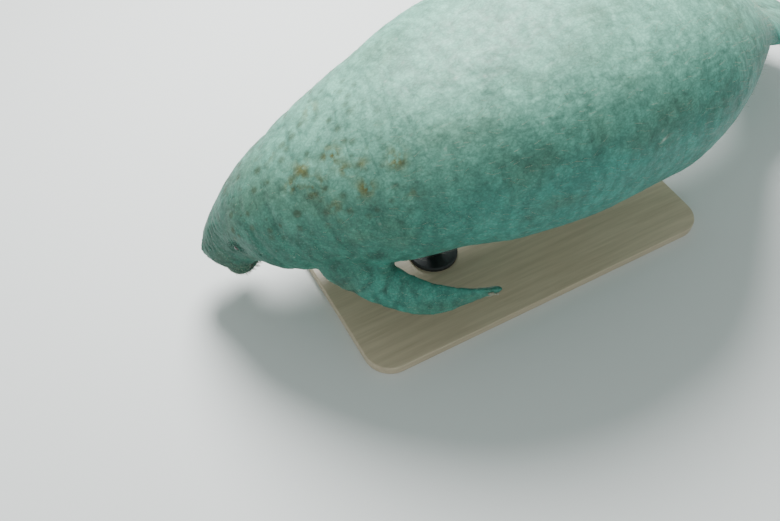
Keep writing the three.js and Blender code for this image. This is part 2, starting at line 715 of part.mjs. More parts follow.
for (const [name, side, limb] of [["left", -1, LEFT_LIMB], ["right", 1, RIGHT_LIMB]]) {
  const path = limbPath(limb, side);
  const arm = flipperLength(path, 0, ARM_LENGTH - GAP / 2, 27, side);
  const hand = flipperLength(path, ARM_LENGTH + GAP / 2, FLIPPER_LENGTH, 27, side);
  const grownHand = flipperLength(path, ARM_LENGTH, FLIPPER_LENGTH, 27, side, GAP);
  addNode(`flipper_${name}_arm`, geometryOf(largest(arm.subtract(trunk))), SKIN);
  addNode(`flipper_${name}_hand`, geometryOf(largest(hand)), SKIN);
  NAILS.forEach((nail, i) => {
    const shell = nailSolid(path, nail, side).subtract(grownHand);
    addNode(`nail_${name}_${i + 1}`, geometryOf(largest(shell)), NAIL_HORN);
  });
}

addNode("stand_base", roundedPlate(BASE), BASE_BOARD);
for (const { name, under } of RODS) {
  const { x, y, z } = posed(bodyPoint(under, -Math.PI / 2));
  const blank = solidOf(saddleBlank(z)).translate([x, y, 0]);
  const probe = blank.intersect(trunk.translate([0, 0, -SADDLE.thin]));
  const low = probe.boundingBox().min[2];
  const saddle = blank.translate([0, 0, low]).subtract(trunk);
  addNode(`stand_saddle_${name}`, geometryOf(largest(saddle)), PAINTED_STEEL);
  const foot = BASE.height + GAP;
  const rod = rodGeometry(low - GAP - foot).translate(x, y, foot);
  addNode(`stand_rod_${name}`, rod, PAINTED_STEEL);
}

export default model;
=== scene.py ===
"""A life-size manatee grazing head down, held over a flat base by two short rods.

Metres, +Z up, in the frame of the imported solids. The animal is shaped lying straight along +X, snout at 0
and right side towards +Y, and is then bent along its spine. Its named sizes are those of the solids, in
millimetres.
"""
import math

import bmesh
import bpy
import numpy as np
from mathutils import Matrix, Vector


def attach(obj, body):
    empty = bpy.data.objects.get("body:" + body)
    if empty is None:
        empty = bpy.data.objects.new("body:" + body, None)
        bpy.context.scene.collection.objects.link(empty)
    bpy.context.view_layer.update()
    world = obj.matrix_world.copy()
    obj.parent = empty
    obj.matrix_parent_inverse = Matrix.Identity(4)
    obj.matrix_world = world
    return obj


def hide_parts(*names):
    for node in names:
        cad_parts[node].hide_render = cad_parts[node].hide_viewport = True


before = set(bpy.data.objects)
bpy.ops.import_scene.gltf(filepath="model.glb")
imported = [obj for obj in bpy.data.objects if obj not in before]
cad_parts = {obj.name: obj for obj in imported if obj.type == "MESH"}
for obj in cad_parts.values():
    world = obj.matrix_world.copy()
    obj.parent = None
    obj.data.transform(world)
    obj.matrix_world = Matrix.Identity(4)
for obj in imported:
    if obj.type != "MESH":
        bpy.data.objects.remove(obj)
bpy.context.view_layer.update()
MM = 0.001

# The animal's driving sizes, as in the solids
LENGTH = 3000
# place: (distance from the snout, half width, top, bottom)
STATIONS = {
    "snout": (0, 92, 26, -98),
    "upper lip": (45, 103, 46, -118),
    "muzzle": (100, 108, 61, -126),
    "cheek": (160, 116, 76, -136),
    "eye": (225, 147, 92, -160),
    "ear": (310, 204, 114, -217),
    "neck": (410, 236, 138, -254),
    "throat": (530, 272, 172, -278),
    "shoulder": (670, 320, 220, -295),
    "armpit": (830, 365, 270, -304),
    "chest": (1030, 414, 310, -339),
    "navel": (1280, 441, 332, -347),
    "hip": (1540, 436, 325, -337),
    "vent": (1800, 378, 272, -276),
    "tail root": (2020, 294, 200, -190),
    "tail stock": (2200, 232, 141, -121),
    "tail waist": (2340, 203, 102, -82),
    "fluke root": (2480, 230, 73, -59),
    "fluke": (2640, 290, 52, -42),
    "fluke widest": (2790, 316, 38, -32),
    "fluke rim": (3000, 316, 20, -18),
}
SNOUT_ROUNDING = 74
FACE_SET_BACK = 0.34
FACE_DEPTH = 150
FLUKE_ROUNDING = 210
FLUKE_TIP_ROUNDING = 60
FLUKE_FLAT_FROM = 2120
FLUKE_FLAT_AT = 2620
# How square the body's cross-section is, along the body
SQUARENESS = [(0, 2.6), (100, 2.6), (300, 2.15), (LENGTH, 2.15)]
# How much wider the head is below than above, as a share, along the body
PEAR = [(0, 0.17), (130, 0.17), (360, 0.14), (530, 0.08), (720, 0.09), (900, 0), (LENGTH, 0)]
# Folds round the neck: (place, depth, half width)
NECK_FOLDS = [(348, 9, 9), (432, 11, 11), (520, 8, 11)]
PITCH = [(0, 57), (220, 50.5), (420, 33), (760, 14), (1430, -1), (2100, -18.5), (2500, -24), (3000, -12)]
TURN = [(0, -29), (240, -29), (570, -20.5), (1330, 1.5), (2200, 15), (3000, 19)]
SPINE_STEP = 5
OVER_BASE_AT = 1240
SPINE_HEIGHT = 690

# The face: centre and radii of each form, mirrored to the other side where it has a y
FACE_PAD = ((66, 0, -44), (60, 84, 74))
NOSE = ((57, 0, -3), (54, 78, 44))
LIP_LOBE = ((80, 49, -88), (66, 56, 54))
LIP_BRIDGE = ((72, 0, -74), (46, 62, 56))
LIP_ROLL = ((150, 74, -84), (80, 44, 21))
NOSTRIL_DOME = ((48, 32, 9), (38, 27, 32))
NOSTRIL_POINTS = 40
# The lower jaw: (distance from the snout, half width, top, bottom)
JAW_STATIONS = [
    (98, 60, -84, -156),
    (135, 76, -80, -172),
    (190, 96, -70, -182),
    (250, 114, -60, -186),
    (310, 122, -50, -176),
]
JAW_ROUNDING = 40
JAW_POWER = 0.85
MOUTH = [(92, -124), (126, -114), (176, -106), (222, -110), (240, -120)]
EYE_AT = 222
EYE_ANGLE = math.radians(12)
EYE_RADIUS = 12
EYE_SUNK = 6.5
SOCKET_DEPTH = 10
# The rings of lid and fold round an eye: (radius, height, half width, how much it wanders, if it breaks off)
LID_RINGS = [
    (13.8, 4.4, 3.4, 0, False),
    (19.5, -2.4, 2.0, 0.4, False),
    (25, 1.5, 4, 1, False),
    (29, -2.0, 2.2, 1, True),
    (38, -1.4, 2.4, 1.4, True),
]
LID_PUCKERS = 14
PUCKER_DEPTH = 1.7
BROW = 4.0
EAR_AT = 314
EAR_ANGLE = math.radians(6)

# The flippers: (distance from the root, leading width, trailing width, half thickness)
ROOT_AT = 527
ROOT_ANGLE = math.radians(-40)
ROOT_SUNK = 124
FLIPPER_LENGTH = 624
SHOULDER_ROUNDING = 120
FLIPPER_STATIONS = [
    (0, 66, 104, 90),
    (140, 88, 92, 70),
    (230, 88, 78, 49),
    (315, 82, 67, 35),
    (410, 76, 56, 26),
    (500, 62, 44, 19),
    (570, 46, 34, 15),
    (624, 32, 26, 11),
]
FLIPPER_ROUNDING = 104
FLIPPER_TIP_ROUNDING = 22
# (distance from the root, towards the tail, outwards, up, twist in degrees)
LEFT_LIMB = [
    (0, 0.64, 0.54, -0.5, -48),
    (210, 0.58, 0.47, -0.58, -55),
    (360, 0.75, 0.24, -0.51, -66),
    (490, 0.92, 0.02, -0.34, -94),
    (624, 0.99, 0.01, -0.2, -124),
]
RIGHT_LIMB = [
    (0, 0.58, 0.56, -0.55, -46),
    (210, 0.5, 0.48, -0.66, -52),
    (360, 0.62, 0.22, -0.66, -60),
    (490, 0.8, 0.02, -0.56, -76),
    (624, 0.86, -0.05, -0.46, -92),
]
LIMB_STEP = 5
NAILS = [(578, 0.6), (597, 0.08), (581, -0.5)]
NAIL_RADII = (10, 6.5, 4.2)

# The navel and the vent: place, depth, half length and half width of the slit, then the height, radius,
# half width and lengthening of the swell round it
BELLY_MARKS = [(1290, 7, 26, 7, 2, 15, 8, 2), (1935, 8, 46, 6, 2.5, 16, 9, 2.5)]

# The saddles' places along the spine, and how far the skin sinks onto them
SADDLES_AT = (900, 1640)
SADDLE_SINK = 1.2

# How finely the skin is made
VOXEL = 0.0055
TRUNK_RING_STEP = 9
TRUNK_COLUMNS = 220


def smooth_through(pairs):
    """A smooth curve through (place, value) pairs that never overshoots them."""
    xs, ys = np.array(pairs, float).T
    rise = np.diff(ys) / np.diff(xs)
    slope = np.empty_like(ys)
    slope[0], slope[-1] = rise[0], rise[-1]
    before, after = rise[:-1], rise[1:]
    turning = before * after <= 0
    slope[1:-1] = np.where(turning, 0, 2 * before * after / np.where(turning, 1, before + after))

    def at(x):
        x = np.clip(np.asarray(x, float), xs[0], xs[-1])
        i = np.clip(np.searchsorted(xs, x) - 1, 0, len(xs) - 2)
        width = xs[i + 1] - xs[i]
        t = (x - xs[i]) / width
        keep = (1 + 2 * t) * (1 - t) ** 2 * ys[i] + t * (1 - t) ** 2 * width * slope[i]
        reach = t * t * (3 - 2 * t) * ys[i + 1] + t * t * (t - 1) * width * slope[i + 1]
        return keep + reach

    return at


def columns_through(rows, count):
    """A curve for each column of a table, over its first column."""
    return [smooth_through([(row[0], row[k]) for row in rows]) for k in range(1, count + 1)]


TURN_ROUND = 2 * math.pi


def angles_round(count):
    return np.arange(count) / count * TURN_ROUND


def curl(value, power):
    return np.sign(value) * np.abs(value) ** power


def quarter_round(distance, run):
    t = np.clip(np.asarray(distance, float) / run, 0, 1)
    return np.sqrt(1 - (1 - t) ** 2)


def rising(low, high, value):
    t = np.clip((value - low) / (high - low), 0, 1)
    return t * t * (3 - 2 * t)


def fading(low, high, value):
    return 1 - rising(low, high, value)


def between(value, rise, full, fall, gone):
    """1 from full to fall, and 0 before rise and after gone."""
    return rising(rise, full, value) * fading(fall, gone, value)


def bell(value, width):
    return np.exp(-((value / width) ** 2))


def stacked(x, y, z):
    return np.stack(np.broadcast_arrays(x, y, z), -1).astype(float)


def norm(v):
    return np.linalg.norm(v, axis=-1)


def unit(v):
    return v / np.linalg.norm(v, axis=-1, keepdims=True)


def nearest_on(curve, marks, points):
    """The mark of the curve's point nearest to each point, and how far off it is."""
    best, where = np.full(len(points), np.inf), np.zeros(len(points))
    for spot, mark in zip(curve, marks):
        away = norm(points - spot)
        closer = away < best
        best[closer], where[closer] = away[closer], mark
    return where, best


half_width_at, top_at, bottom_at = columns_through(STATIONS.values(), 3)
squareness_at = smooth_through(SQUARENESS)
pear_at = smooth_through(PEAR)
flatness_at = smooth_through([(0, 0), (FLUKE_FLAT_FROM, 0), (FLUKE_FLAT_AT, 0.85), (LENGTH, 0.85)])


def middle_and_half(top, bottom):
    return (top + bottom) / 2, (top - bottom) / 2


def fold_depth(x, angle):
    share = 0.62 - 0.38 * np.sin(angle)
    return sum(depth * share * bell(x - at, half) for at, depth, half in NECK_FOLDS)


def body_point(x, angle):
    """A point of the straight body's skin, in millimetres."""
    x, angle = np.broadcast_arrays(np.asarray(x, float), np.asarray(angle, float))
    closing = quarter_round(x, SNOUT_ROUNDING)
    outline = closing * quarter_round(LENGTH - x, FLUKE_ROUNDING)
    thickness = closing * quarter_round(LENGTH - x, FLUKE_TIP_ROUNDING)
    power = 2 / squareness_at(x)
    inset = fold_depth(x, angle)
    half = (half_width_at(x) - inset) * outline
    middle, tall = middle_and_half(top_at(x), bottom_at(x))
    pear = 1 - pear_at(x) * np.sin(angle)
    y = half * pear * curl(np.cos(angle), power)
    z = middle + (tall - inset) * thickness * curl(np.sin(angle), power + flatness_at(x))
    lean = np.clip(1 - x / FACE_DEPTH, 0, None) ** 2 * FACE_SET_BACK
    return stacked(x + lean * (top_at(0) - z), y, z)


# The spine of the posed body
pitch_at, turn_at = smooth_through(PITCH), smooth_through(TURN)


def spine_direction(x):
    pitch, turn = np.radians(pitch_at(x)), np.radians(turn_at(x))
    return stacked(np.cos(pitch) * np.cos(turn), np.cos(pitch) * np.sin(turn), np.sin(pitch))


SPINE_PLACES = np.arange(0, LENGTH + 1, SPINE_STEP)
SPINE_WAYS = spine_direction(SPINE_PLACES)
SPINE = np.cumsum(spine_direction(SPINE_PLACES[:-1] + SPINE_STEP / 2) * SPINE_STEP, 0)
SPINE = np.vstack([np.zeros(3), SPINE])
SPINE = SPINE - SPINE[OVER_BASE_AT // SPINE_STEP] + np.array([0, 0, SPINE_HEIGHT])


def along_curve(x, places, points):
    return np.stack([np.interp(x, places, points[:, k]) for k in range(3)], -1)


def spine_point(x):
    x = np.asarray(x, float)
    before = np.minimum(x, 0)[..., None] * spine_direction(0)
    after = np.maximum(x - LENGTH, 0)[..., None] * spine_direction(LENGTH)
    return along_curve(x, SPINE_PLACES, SPINE) + (before + after)


def body_axes(x):
    """The posed body's own directions: towards the tail, to the right side, and up."""
    tail = spine_direction(x)
    right = unit(stacked(-tail[..., 1], tail[..., 0], 0 * tail[..., 0]))
    return tail, right, np.cross(tail, right)


def posed(points):
    """Straight millimetres to the posed frame in metres."""
    _, right, up = body_axes(points[..., 0])
    return (spine_point(points[..., 0]) + right * points[..., 1:2] + up * points[..., 2:3]) * MM


STRAIGHTENING_ROUNDS = 14
STRAIGHTENING_STEP = 0.8
BEYOND_ENDS = 200


def straightened(points):
    """The posed frame in metres back to straight millimetres."""
    points = points / MM
    x = np.interp(points[:, 0], SPINE[:, 0], SPINE_PLACES)
    for _ in range(STRAIGHTENING_ROUNDS):
        ways = along_curve(x, SPINE_PLACES, SPINE_WAYS)
        x = x + STRAIGHTENING_STEP * np.sum((points - spine_point(x)) * ways, -1)
        x = np.clip(x, -BEYOND_ENDS, LENGTH + BEYOND_ENDS)
    off = points - spine_point(x)
    _, right, up = body_axes(x)
    return stacked(x, np.sum(off * right, -1), np.sum(off * up, -1))


# Value noise
NOISE_SPAN = 64
NOISE_TABLE = np.random.default_rng(11).random((NOISE_SPAN,) * 3)
SEED_STEPS = np.array([17, 29, 41])


def hashed(cells, seed):
    """A number from 0 to 1 for each whole-numbered cell."""
    i, j, k = ((cells + seed * SEED_STEPS).astype(np.int64) % NOISE_SPAN).T
    return NOISE_TABLE[i, j, k]


def noise(points, size, seed=0):
    """Smooth noise between -1 and 1, with features about that size."""
    p = points / size
    base = np.floor(p)
    t = p - base
    t = t * t * t * (t * (6 * t - 15) + 10)
    total = 0
    for corner in np.ndindex(2, 2, 2):
        weight = 1
        for axis, far in enumerate(corner):
            weight = weight * (t[:, axis] if far else 1 - t[:, axis])
        total = total + weight * hashed(base + np.array(corner), seed)
    return total * 2 - 1


def layered(points, size, layers, seed=0, fall=0.5):
    share = [fall**k for k in range(layers)]
    return sum(w * noise(points, size / 2**k, seed + k) for k, w in enumerate(share)) / sum(share)


def patchy(points, least, size, seed, soft=0.4):
    """A share that wanders between least and 1, for creases that come and go."""
    return least + (1 - least) * rising(-soft, soft, noise(points, size, seed))


def crests(phase):
    return np.clip(np.cos(phase), 0, 1)


def ridged(points, size, seed=0):
    """Thin branching valleys: 0 in a valley, 1 between them."""
    return np.clip(np.abs(noise(points, size, seed)) * 3.2, 0, 1)


# Meshes
def shade_smooth(mesh):
    mesh.polygons.foreach_set("use_smooth", np.ones(len(mesh.polygons), bool))


def placed(name, data):
    obj = bpy.data.objects.new(name, data)
    bpy.context.scene.collection.objects.link(obj)
    return obj


def mesh_object(name, vertices, faces, material=None):
    mesh = bpy.data.meshes.new(name)
    mesh.from_pydata(np.asarray(vertices).tolist(), [], faces)
    mesh.validate()
    if material:
        mesh.materials.append(material)
    shade_smooth(mesh)
    return placed(name, mesh)


def read(items, key, width=1, kind=float):
    """That property of every item of a mesh, in rows of that width."""
    flat = np.empty(len(items) * width, kind)
    items.foreach_get(key, flat)
    return flat.reshape(-1, width) if width > 1 else flat


def vertex_places(obj):
    return read(obj.data.vertices, "co", 3)


def set_places(obj, places):
    obj.data.vertices.foreach_set("co", places.ravel())
    obj.data.update()


def set_colours(obj, name, colour):
    attribute = obj.data.color_attributes.new(name, "FLOAT_COLOR", "POINT")
    rgba = np.ones((len(colour), 4))
    rgba[:, :3] = np.clip(colour, 0, 1)
    attribute.data.foreach_set("color", rgba.ravel())


def skin_of_rings(rings, start, end):
    """Vertices and faces of a closed skin through rings of points, with a pole at each end."""
    count, columns = rings.shape[:2]
    vertices = np.vstack([rings.reshape(-1, 3), start, end])
    first, top = count * columns, (count - 1) * columns
    pairs = [(j, (j + 1) % columns) for j in range(columns)]
    faces = []
    for low in range(0, top, columns):
        high = low + columns
        faces += [(low + j, high + j, high + k, low + k) for j, k in pairs]
    for j, k in pairs:
        faces += [(first, j, k), (first + 1, top + k, top + j)]
    return vertices, faces


def rounded_places(reach, count):
    angle = (np.arange(count) + 1) / (count + 1) * math.pi / 2
    return reach * (1 - np.cos(angle))


def trunk_shell():
    angles = angles_round(TRUNK_COLUMNS)
    middle = np.arange(SNOUT_ROUNDING, LENGTH - FLUKE_ROUNDING, TRUNK_RING_STEP)
    front = rounded_places(SNOUT_ROUNDING, 20)
    rear = LENGTH - rounded_places(FLUKE_ROUNDING, 34)[::-1]
    places = np.concatenate([front, middle, rear])
    rings = posed(body_point(places[:, None], angles[None]))
    centre = (top_at(0) + bottom_at(0)) / 2
    snout = posed(np.array([FACE_SET_BACK * (top_at(0) - centre), 0, centre]))
    rim = posed(np.array([LENGTH, 0, (top_at(LENGTH) + bottom_at(LENGTH)) / 2]))
    return skin_of_rings(rings, snout, rim)


def jaw_shell():
    half, top, bottom = columns_through(JAW_STATIONS, 3)
    start, end = JAW_STATIONS[0][0], JAW_STATIONS[-1][0]
    angles = angles_round(96)
    places = np.concatenate([start + rounded_places(JAW_ROUNDING, 12), np.arange(start + JAW_ROUNDING, end, 5)])
    x, angle = places[:, None], angles[None]
    closing = quarter_round(x - start, JAW_ROUNDING)
    middle, tall = middle_and_half(top(x), bottom(x))
    y = half(x) * closing * curl(np.cos(angle), JAW_POWER)
    rings = posed(stacked(x, y, middle + tall * closing * curl(np.sin(angle), JAW_POWER)))
    ends = [posed(np.array([p, 0, (top(p) + bottom(p)) / 2])) for p in (start, places[-1])]
    return skin_of_rings(rings, *ends)


def ellipsoid_shell(centre, radii, place=posed, columns=64, rows=40):
    angles = angles_round(columns)
    lift = (np.arange(rows - 1) + 1) / rows * math.pi
    low, wide = -np.cos(lift)[:, None], np.sin(lift)[:, None]
    ball = stacked(low, wide * np.cos(angles), wide * np.sin(angles))
    centre, radii = np.array(centre, float), np.array(radii, float)
    ends = [place(centre + radii * np.array([sign, 0, 0])) for sign in (-1, 1)]
    return skin_of_rings(place(centre + radii * ball), *ends)


# The flippers
lead_at, trail_at, flipper_half_at = columns_through(FLIPPER_STATIONS, 3)


def side_angle(angle, side):
    return angle if side > 0 else math.pi - angle


class Limb:
    """A flipper's centre line and directions in the posed frame, in millimetres."""

    def __init__(self, knots, side):
        self.side = side
        tail, right, self.up = body_axes(float(ROOT_AT))
        self.tail, self.out = tail, right * side
        self.back, self.outward, self.upward, self.twist = columns_through(knots, 4)
        surface = posed(body_point(float(ROOT_AT), side_angle(ROOT_ANGLE, side))) / MM
        start = surface - self.direction(0.0) * ROOT_SUNK
        self.places = np.arange(0, FLIPPER_LENGTH + LIMB_STEP, LIMB_STEP)
        steps = self.direction(self.places[:-1] + LIMB_STEP / 2) * LIMB_STEP
        self.points = np.vstack([start, start + np.cumsum(steps, 0)])

    def direction(self, s):
        s = np.asarray(s, float)[..., None]
        return unit(self.tail * self.back(s) + self.out * self.outward(s) + self.up * self.upward(s))

    def at(self, s):
        """Centre, leading direction and outer direction at a distance along the flipper."""
        s = np.asarray(s, float)
        centre = along_curve(s, self.places, self.points)
        way = self.direction(s)
        level = unit(np.cross(way, self.up) * -self.side)
        steep = unit(np.cross(way, level) * self.side)
        turn = np.radians(self.twist(s))[..., None]
        lead = level * np.cos(turn) + steep * np.sin(turn)
        return centre, lead, unit(np.cross(way, lead) * self.side)

    def skin(self, s, angle):
        """A point of the skin: angle 0 is the leading edge, a quarter turn the outer face."""
        s, angle = np.broadcast_arrays(np.asarray(s, float), np.asarray(angle, float))
        opening = quarter_round(s, SHOULDER_ROUNDING)
        outline = opening * quarter_round(FLIPPER_LENGTH - s, FLIPPER_ROUNDING)
        thickness = opening * quarter_round(FLIPPER_LENGTH - s, FLIPPER_TIP_ROUNDING)
        centre, lead, face = self.at(s)
        across = np.cos(angle)
        width = np.where(across > 0, lead_at(s), trail_at(s)) * outline
        half = flipper_half_at(s) * thickness
        blade = np.clip((s - 170) / 220, 0, 1) * 0.5
        point = centre + lead * (width * across)[..., None]
        return point + face * (half * curl(np.sin(angle), 1 + blade))[..., None]

    def shell(self):
        angles = angles_round(120) * self.side
        root = rounded_places(SHOULDER_ROUNDING, 20)
        straight = np.arange(SHOULDER_ROUNDING, FLIPPER_LENGTH - FLIPPER_ROUNDING, 5)
        rounded = FLIPPER_LENGTH - rounded_places(FLIPPER_ROUNDING, 24)[::-1]
        places = np.concatenate([root, straight, rounded])
        rings = self.skin(places[:, None], angles[None]) * MM
        ends = [self.at(float(s))[0] * MM for s in (0, FLIPPER_LENGTH)]
        return skin_of_rings(rings, *ends)


LIMBS = {"left": Limb(LEFT_LIMB, -1), "right": Limb(RIGHT_LIMB, 1)}


def skin_frame(x, angle):
    """The straight head's own directions at a place: outwards, towards the tail, and across."""
    here = body_point(x, angle)
    along = unit(body_point(x + 4, angle) - body_point(x - 4, angle))
    around = unit(body_point(x, angle + 0.05) - body_point(x, angle - 0.05))
    out = unit(np.cross(along, around))
    if np.dot(out, np.array([0, here[1], here[2]])) < 0:
        out = -out
    return here, along, np.cross(out, along), out


def raw_skin():
    """All the forms of flesh, made into one closed skin of even quads."""
    shells = [trunk_shell(), jaw_shell()]
    shells += [ellipsoid_shell(*form) for form in (LIP_BRIDGE, FACE_PAD, NOSE)]
    for side in (-1, 1):
        for (x, y, z), radii in (LIP_LOBE, LIP_ROLL, NOSTRIL_DOME):
            shells.append(ellipsoid_shell((x, y * side, z), radii))
    shells += [limb.shell() for limb in LIMBS.values()]
    vertices, faces, count = [], [], 0
    for points, polygons in shells:
        vertices.append(points)
        faces += [tuple(i + count for i in polygon) for polygon in polygons]
        count += len(points)
    obj = mesh_object("skin", np.vstack(vertices), faces)
    remesh = obj.modifiers.new("one surface", "REMESH")
    remesh.mode = "VOXEL"
    remesh.voxel_size = VOXEL
    depsgraph = bpy.context.evaluated_depsgraph_get()
    mesh = bpy.data.meshes.new_from_object(obj.evaluated_get(depsgraph))
    obj.modifiers.clear()
    old, obj.data = obj.data, mesh
    bpy.data.meshes.remove(old)
    return obj


def relax(obj, *passes):
    """Moves each point towards the middle of its neighbours, by its weight, for so many rounds."""
    places = vertex_places(obj)
    a, b = read(obj.data.edges, "vertices", 2, np.int64).T
    count = len(places)
    degree = np.bincount(a, minlength=count) + np.bincount(b, minlength=count)
    for weight, rounds in passes:
        for _ in range(rounds):
            sums = [np.bincount(a, places[b, k], count) + np.bincount(b, places[a, k], count) for k in range(3)]
            places += 0.5 * weight[:, None] * (np.stack(sums, -1) / degree[:, None] - places)
    set_places(obj, places)
    return places


def limb_reaches(places):
    """For each flipper: how far along it each point lies, and how far from its centre line, in mm."""
    return [nearest_on(limb.points[::2], limb.places[::2], places / MM) for limb in LIMBS.values()]


def split_faces(obj, chosen):
    """Cuts the chosen faces in four."""
    work = bmesh.new()
    work.from_mesh(obj.data)
    work.faces.ensure_lookup_table()
    edges = {edge for i in np.nonzero(chosen)[0] for edge in work.faces[i].edges}
    bmesh.ops.subdivide_edges(work, edges=list(edges), cuts=1, use_grid_fill=True, smooth=0)
    work.to_mesh(obj.data)
    work.free()


EYES, EARS = (
    {side: skin_frame(float(at), side_angle(angle, side)) for side in (-1, 1)}
    for at, angle in ((EYE_AT, EYE_ANGLE), (EAR_AT, EAR_ANGLE))
)


def nostril_curve(side):
    """The crescent of a closed nostril, over its dome."""
    centre, radii = NOSTRIL_DOME
    turn = np.radians(np.linspace(-100, 100, NOSTRIL_POINTS))
    dx, dy = -4 - 13 * np.cos(turn), 11.7 * np.sin(turn)
    lift = radii[2] * np.sqrt(np.clip(1 - (dx / radii[0]) ** 2 - (dy / radii[1]) ** 2, 0, 1))
    return stacked(centre[0] + dx, side * (centre[1] + dy), centre[2] + lift)


def near_features(straight):
    """Where the head's small features are."""
    x, y, z = straight.T
    chosen = (x < 118) & (z > -160)
    for side in (-1, 1):
        chosen |= norm(straight - EYES[side][0]) < 46
    mouth_z = np.interp(x, *np.array(MOUTH).T)
    chosen |= (x > 60) & (x < 262) & (np.abs(z - mouth_z) < 22) & (np.abs(y) > 30)
    return chosen


def mouth_offset(straight):
    """Depth of the mouth's groove, with the lips that swell beside it."""
    x, y, z = straight.T
    mouth = smooth_through(MOUTH)(x)
    there = between(x, 66, 96, 226, 250) * rising(20, 44, np.abs(y))
    off = z - mouth - 1.6 * noise(straight, 26, 5)
    groove = -9.5 * bell(off, 3.6) - 2.0 * bell(off, 9)
    lips = 3.0 * bell(off - 10, 6) + 2.6 * bell(off + 11, 7)
    folds = np.cos(x / 3.3 + 2.2 * noise(straight, 30, 6)) * bell(np.abs(off) - 8, 8)
    return there * (groove + lips + 0.7 * folds)


def eye_offset(straight):
    """Each eye's socket, its ring of lid, and the puckered folds round it."""
    offset = np.zeros(len(straight))
    for side in (-1, 1):
        here, along, across, out = EYES[side]
        local = straight - here
        u, v, w = local @ along, local @ across, local @ out
        near = np.abs(w) < 34
        theta = np.arctan2(v, u)
        r = np.hypot(u / 1.16, v / 0.92) + 0.6 * np.cos(2 * theta + 0.7) + 0.5 * np.cos(3 * theta)
        wander = 2.2 * noise(straight, 24, 7) + 0.8 * noise(straight, 12, 17)
        pit = -SOCKET_DEPTH * fading(7.2, 11.0, r)
        broken = patchy(straight, 0.45, 26, 18, 0.3)
        rings = 0
        for radius, height, half, sway, breaks in LID_RINGS:
            rings = rings + height * bell(r - radius + sway * wander, half) * (broken if breaks else 1)
        spokes = crests(theta * LID_PUCKERS + 4 * noise(straight, 18, 8))
        spokes = -PUCKER_DEPTH * spokes * between(r, 12, 17, 30, 50)
        above = BROW * bell(u, 36) * bell(straight[:, 2] - here[2] - 30, 13)
        offset += near * (pit + rings + spokes + above)
    return offset


def nostril_offset(straight):
    """The crescent slit of each closed nostril and the soft rim round it."""
    offset = np.zeros(len(straight))
    for side in (-1, 1):
        where, away = nearest_on(nostril_curve(side), np.linspace(0, 1, NOSTRIL_POINTS), straight)
        ends = between(where, 0, 0.14, 0.86, 1)
        offset += -8.5 * bell(away, 2.6) * (0.3 + 0.7 * ends) + 2.6 * bell(away - 7, 3.4)
        x, y, z = (straight - np.array([NOSTRIL_DOME[0][0], side * NOSTRIL_DOME[0][1], 40])).T
        offset += 1.6 * bell(np.hypot(x + 4, y), 7) * (z > -24)
    return offset


def ear_offset(straight):
    """The ear's pinhole in a shallow dimple."""
    away = [norm(straight - EARS[side][0]) for side in (-1, 1)]
    return sum(-3.6 * bell(a, 3.2) - 1.0 * bell(a, 10) + 0.9 * bell(a - 9, 3.5) for a in away)


def muzzle_offset(straight):
    """Creases of the muzzle: the cleft of the upper lip, bellows across the top, folds down the sides."""
    x, y, z = straight.T
    front = fading(96, 150, x)
    cleft = -7 * bell(y, 6.5) * rising(-46, -84, z) * front
    dip = -3.2 * bell(y, 12) * bell(x - 30, 26) * rising(0, 22, z)
    sway = 11 * noise(straight, 64, 9) + 4 * noise(straight, 26, 19)
    uneven = patchy(straight, 0.35, 44, 20)
    top = rising(0, 40, z) * between(x, 70, 96, 190, 235)
    bellows = -1.5 * uneven * crests((x + sway - 0.0016 * y * y) / 21 * TURN_ROUND) * top
    side = rising(40, 84, np.abs(y)) * bell(x - 118, 52) * bell(z + 34, 60)
    pleats = -1.6 * uneven * crests((x + 0.45 * z + sway) / 22 * TURN_ROUND) * side
    rough = 0.9 * noise(straight, 15, 10) - 1.5 * (1 - ridged(straight, 30, 14))
    return cleft + dip + bellows + pleats + rough * fading(110, 190, x)


def chin_offset(straight):
    """Wrinkles under the jaw and round the corner of the mouth."""
    x, y, z = straight.T
    below = rising(-120, -160, z) * between(x, 110, 170, 300, 380)
    wave = crests((x + 15 * noise(straight, 60, 15) + 5 * noise(straight, 24, 16)) / 19 * TURN_ROUND)
    corner = bell(np.hypot(x - 246, z + 112), 26) * np.cos(np.hypot(x - 232, z + 110) / 7.5 + 1)
    return -1.6 * patchy(straight, 0.4, 50, 23) * wave * below - 1.4 * corner


def crease_offset(straight, limbs):
    """Wrinkles: across the neck, the flippers' roots and the tail stock, and shallow ones all over."""
    x = straight[:, 0]
    warp = np.stack([noise(straight, 90, k) for k in (11, 12, 13)], -1)
    warped = straight + 24 * warp
    across = ridged(warped * np.array([1.0, 0.26, 0.26]), 50, 21)
    neck = between(x, 235, 330, 620, 800)
    stock = between(x, 1820, 2050, 2400, 2560)
    offset = (across - 0.7) * (0.7 + 1.3 * neck + 2.0 * stock)
    long = ridged(warped * np.array([1.0, 0.2, 0.2]), 130, 31)
    offset += (long - 0.7) * (0.6 + 0.7 * stock) * between(x, 760, 1100, 2300, 2480)
    net = ridged(warped, 34, 33) * ridged(warped, 27, 34)
    offset += (net - 0.5) * 0.9 * (1 - 0.6 * rising(2300, 2600, x))
    for along, away in limbs:
        root = bell(along - 200, 90) * fading(150, 230, away)
        offset += root * 2.2 * np.sin(along / 11 + 2.6 * noise(straight, 70, 41))
        hand = rising(230, 310, along) * fading(90, 120, away)
        offset += hand * (1.0 * noise(straight, 18, 43) + 0.5 * np.sin(along / 8 + 4 * noise(straight, 50, 44)))
    return offset


